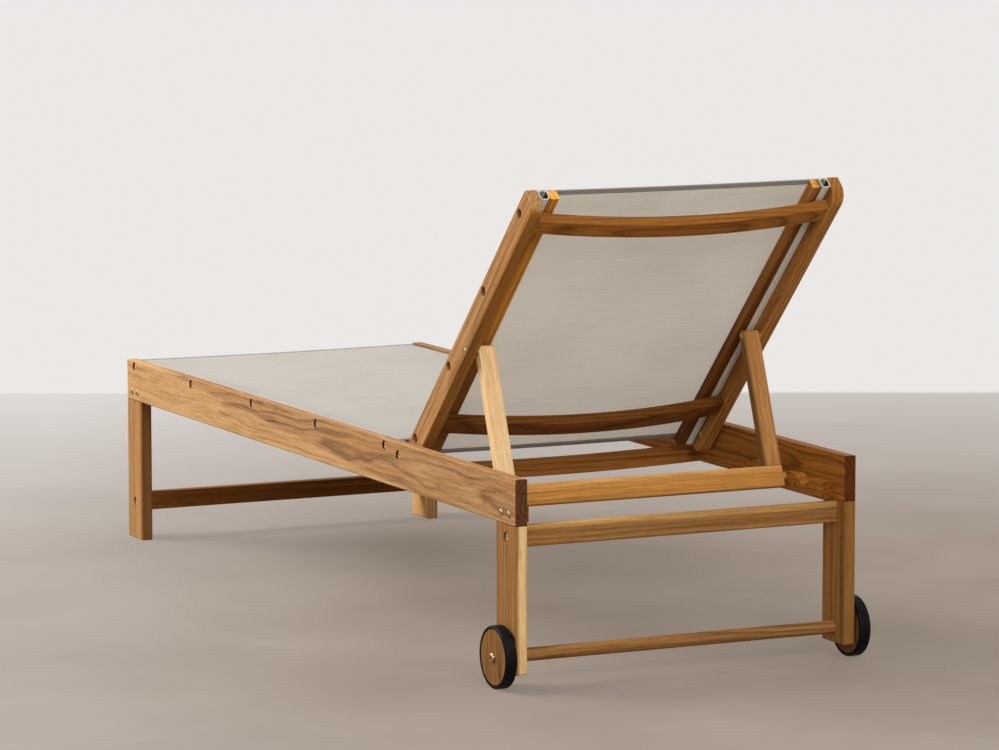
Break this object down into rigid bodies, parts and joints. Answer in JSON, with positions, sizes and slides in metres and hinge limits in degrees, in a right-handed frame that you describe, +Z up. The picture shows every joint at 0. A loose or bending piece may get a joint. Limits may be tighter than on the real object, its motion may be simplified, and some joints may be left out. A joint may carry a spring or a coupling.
{
  "type": "reclining sun lounger",
  "caption": "Wooden sun lounger with stretched mesh slings, a backrest propped on notched racks, straight legs at the foot end and wheels at the head end.",
  "frame": {"origin": "centre of the bounding box on the floor", "axes": "+X across to the lounger's left, +Y along it to the head end with the wheels, +Z up"},
  "size_m": [0.7126, 1.8156, 0.8423],
  "materials": {
    "frame_wood": "oiled",
    "cross_wood": "oiled",
    "back_wood": "oiled",
    "prop_wood": "oiled",
    "rack_wood": "oiled",
    "wheel_wood": "oiled",
    "channel_metal": "satin",
    "sling_mesh": "woven mesh",
    "bolt_brass": "plated",
    "tyre_rubber": "matte"
  },
  "bodies": {
    "base": {"left_side_rail": "frame_wood", "right_side_rail": "frame_wood", "left_front_leg": "frame_wood", "right_front_leg": "frame_wood", "left_rear_leg": "frame_wood", "right_rear_leg": "frame_wood", "front_stretcher": "cross_wood", "rear_cross_rail": "cross_wood", "axle_dowel": "cross_wood", "seat_foot_rail": "cross_wood", "seat_middle_rail": "cross_wood", "seat_rear_rail": "cross_wood", "left_rack": "rack_wood", "right_rack": "rack_wood", "left_seat_channel": "channel_metal", "right_seat_channel": "channel_metal", "left_seat_batten": "back_wood", "right_seat_batten": "back_wood", "seat_sling": "sling_mesh", "leg_bolts": "bolt_brass", "stretcher_screws": "bolt_brass", "seat_sling_screws": "bolt_brass", "rack_screws": "bolt_brass", "recline_bolts": "bolt_brass", "recline_spacers": "bolt_brass", "wheel_bolts": "bolt_brass", "wheel_washers": "bolt_brass"},
    "backrest": {"left_stile": "back_wood", "right_stile": "back_wood", "left_back_channel": "channel_metal", "right_back_channel": "channel_metal", "left_back_batten": "back_wood", "right_back_batten": "back_wood", "back_sling": "sling_mesh", "lower_back_rail": "cross_wood", "upper_back_rail": "cross_wood", "back_sling_screws": "bolt_brass", "prop_bolts": "bolt_brass", "prop_nuts": "bolt_brass", "prop_washers": "bolt_brass"},
    "prop": {"left_prop_leg": "prop_wood", "right_prop_leg": "prop_wood", "prop_crossbar": "prop_wood"},
    "left_wheel": {"left_wheel_disc": "wheel_wood", "left_tyre": "tyre_rubber"},
    "right_wheel": {"right_wheel_disc": "wheel_wood", "right_tyre": "tyre_rubber"}
  },
  "joints": [
    {"name": "backrest_recline", "type": "hinge", "parent": "base", "child": "backrest", "pos_m": [0, 0.41525, 0.339], "axis": [1, 0, 0], "range_deg": [-42.8, 4]},
    {"name": "prop_swing", "type": "hinge", "parent": "backrest", "child": "prop", "pos_m": [0, 0.63004, 0.54498], "axis": [1, 0, 0], "range_deg": [-10.6, 111.8]},
    {"name": "left_wheel_spin", "type": "hinge", "parent": "base", "child": "left_wheel", "pos_m": [0.3415, 0.85375, 0.054], "axis": [1, 0, 0], "continuous": true},
    {"name": "right_wheel_spin", "type": "hinge", "parent": "base", "child": "right_wheel", "pos_m": [-0.3415, 0.85375, 0.054], "axis": [1, 0, 0], "continuous": true}
  ],
  "couplings": [
    {"joint": "prop_swing", "follows": "backrest_recline", "ratio": -2.607}
  ]
}
